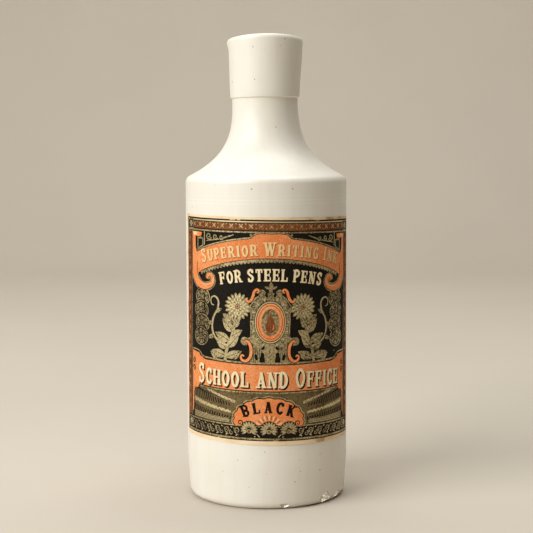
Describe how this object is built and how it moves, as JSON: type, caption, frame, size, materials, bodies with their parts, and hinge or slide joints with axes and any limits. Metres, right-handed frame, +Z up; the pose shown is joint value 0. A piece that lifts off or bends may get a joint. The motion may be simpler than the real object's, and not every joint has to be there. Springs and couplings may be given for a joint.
{
  "type": "ink bottle",
  "caption": "Cylindrical glazed stoneware ink bottle with a swept shoulder, a flared collar, a cork pushed into its mouth and a printed paper label round the front.",
  "frame": {"origin": "centre of the flat foot, on the surface that the bottle stands on", "axes": "+Z up along the bottle's axis; the label's front faces -Y, and +X is to the right of its reader"},
  "size_m": [0.0752, 0.0757, 0.214],
  "materials": {
    "glazed_stoneware": "cream feldspar glaze, softly glossy, with fine iron specks",
    "cork": "natural cork, matte, with dark pores",
    "printed_paper": "aged printed paper, matte, in black, orange and old gold"
  },
  "bodies": {
    "bottle": {"stoneware_body": "glazed_stoneware", "paper_label": "printed_paper"},
    "cork": {"cork_stopper": "cork"}
  },
  "joints": [
    {"name": "cork_pull", "type": "slide", "parent": "bottle", "child": "cork", "axis": [0, 0, 1], "range_m": [0, 0.06]}
  ]
}
